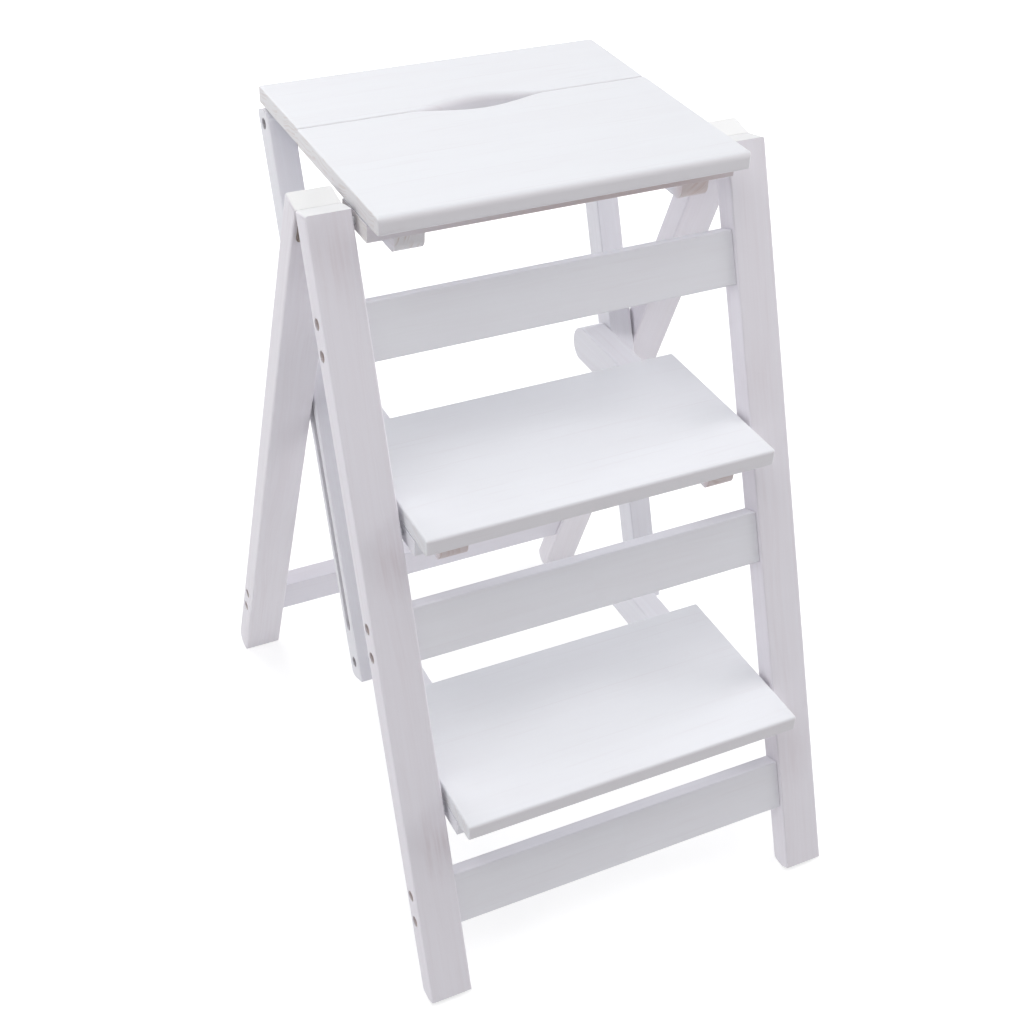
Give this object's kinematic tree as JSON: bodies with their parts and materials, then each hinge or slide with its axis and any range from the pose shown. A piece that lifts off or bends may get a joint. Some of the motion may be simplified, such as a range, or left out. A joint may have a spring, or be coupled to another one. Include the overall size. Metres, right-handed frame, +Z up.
{
  "type": "folding step stool chair",
  "caption": "Wooden folding step stool chair: a seat with a hand slot and steps that turn on a leaning front frame, joined by side bars, with a hinged rear frame.",
  "frame": {"origin": "on the floor under the middle of the stool's overall size", "axes": "+X across to the stool's right as seen by a person facing its front, +Y to the rear, +Z up"},
  "size_m": [0.404, 0.524, 0.645],
  "materials": {
    "painted_pine": "thin white paint on pine, the grain showing through",
    "steel_fasteners": "plain zinc",
    "plated_hinge": "dull plated"
  },
  "bodies": {
    "front_frame": {"front_rail_bottom": "painted_pine", "front_rail_middle": "painted_pine", "front_rail_top": "painted_pine", "front_screw_1_left": "steel_fasteners", "front_screw_1_right": "steel_fasteners", "front_screw_2_left": "steel_fasteners", "front_screw_2_right": "steel_fasteners", "front_screw_3_left": "steel_fasteners", "front_screw_3_right": "steel_fasteners", "front_screw_4_left": "steel_fasteners", "front_screw_4_right": "steel_fasteners", "front_screw_5_left": "steel_fasteners", "front_screw_5_right": "steel_fasteners", "front_screw_6_left": "steel_fasteners", "front_screw_6_right": "steel_fasteners", "front_stile_left": "painted_pine", "front_stile_right": "painted_pine", "hinge_leaf_front_left": "plated_hinge", "hinge_leaf_front_right": "plated_hinge", "hinge_pin_left": "plated_hinge", "hinge_pin_right": "plated_hinge", "pivot_pin_lower_left": "steel_fasteners", "pivot_pin_lower_right": "steel_fasteners", "pivot_pin_middle_left": "steel_fasteners", "pivot_pin_middle_right": "steel_fasteners", "pivot_pin_seat_left": "steel_fasteners", "pivot_pin_seat_right": "steel_fasteners"},
    "seat": {"seat_arm_left": "painted_pine", "seat_arm_right": "painted_pine", "seat_batten": "painted_pine", "seat_board_front": "painted_pine", "seat_board_rear": "painted_pine"},
    "middle_step": {"middle_step_arm_left": "painted_pine", "middle_step_arm_right": "painted_pine", "middle_step_batten": "painted_pine", "middle_step_board": "painted_pine"},
    "lower_step": {"lower_step_arm_left": "painted_pine", "lower_step_arm_right": "painted_pine", "lower_step_batten": "painted_pine", "lower_step_board": "painted_pine"},
    "link_left": {"link_bar_left": "painted_pine", "link_bolt_lower_left": "steel_fasteners", "link_bolt_middle_left": "steel_fasteners", "link_bolt_seat_left": "steel_fasteners"},
    "link_right": {"link_bar_right": "painted_pine", "link_bolt_lower_right": "steel_fasteners", "link_bolt_middle_right": "steel_fasteners", "link_bolt_seat_right": "steel_fasteners"},
    "rear_frame": {"guide_pin_left": "steel_fasteners", "guide_pin_right": "steel_fasteners", "hinge_leaf_rear_left": "plated_hinge", "hinge_leaf_rear_right": "plated_hinge", "rear_leg_left": "painted_pine", "rear_leg_right": "painted_pine", "rear_rail": "painted_pine", "rear_screw_1_left": "steel_fasteners", "rear_screw_1_right": "steel_fasteners", "rear_screw_2_left": "steel_fasteners", "rear_screw_2_right": "steel_fasteners"}
  },
  "joints": [
    {"name": "seat_fold", "type": "hinge", "parent": "front_frame", "child": "seat", "pos_m": [0, -0.0083, 0.6222], "axis": [1, 0, 0], "range_deg": [0, 58]},
    {"name": "middle_step_fold", "type": "hinge", "parent": "front_frame", "child": "middle_step", "pos_m": [0, -0.09883, 0.3912], "axis": [1, 0, 0], "range_deg": [0, 58]},
    {"name": "lower_step_fold", "type": "hinge", "parent": "front_frame", "child": "lower_step", "pos_m": [0, -0.18936, 0.1602], "axis": [1, 0, 0], "range_deg": [0, 58]},
    {"name": "link_left_turn", "type": "hinge", "parent": "seat", "child": "link_left", "pos_m": [0, 0.1972, 0.6172], "axis": [1, 0, 0], "range_deg": [-58, 0]},
    {"name": "link_right_turn", "type": "hinge", "parent": "seat", "child": "link_right", "pos_m": [0, 0.1972, 0.6172], "axis": [1, 0, 0], "range_deg": [-58, 0]},
    {"name": "rear_frame_fold", "type": "hinge", "parent": "front_frame", "child": "rear_frame", "pos_m": [0, 0.00673, 0.62192], "axis": [1, 0, 0], "range_deg": [-38.8, 0]}
  ],
  "couplings": [
    {"joint": "middle_step_fold", "follows": "seat_fold", "ratio": 1},
    {"joint": "lower_step_fold", "follows": "seat_fold", "ratio": 1},
    {"joint": "link_left_turn", "follows": "seat_fold", "ratio": -1},
    {"joint": "link_right_turn", "follows": "seat_fold", "ratio": -1},
    {"joint": "rear_frame_fold", "follows": "seat_fold", "ratio": -0.6672}
  ]
}
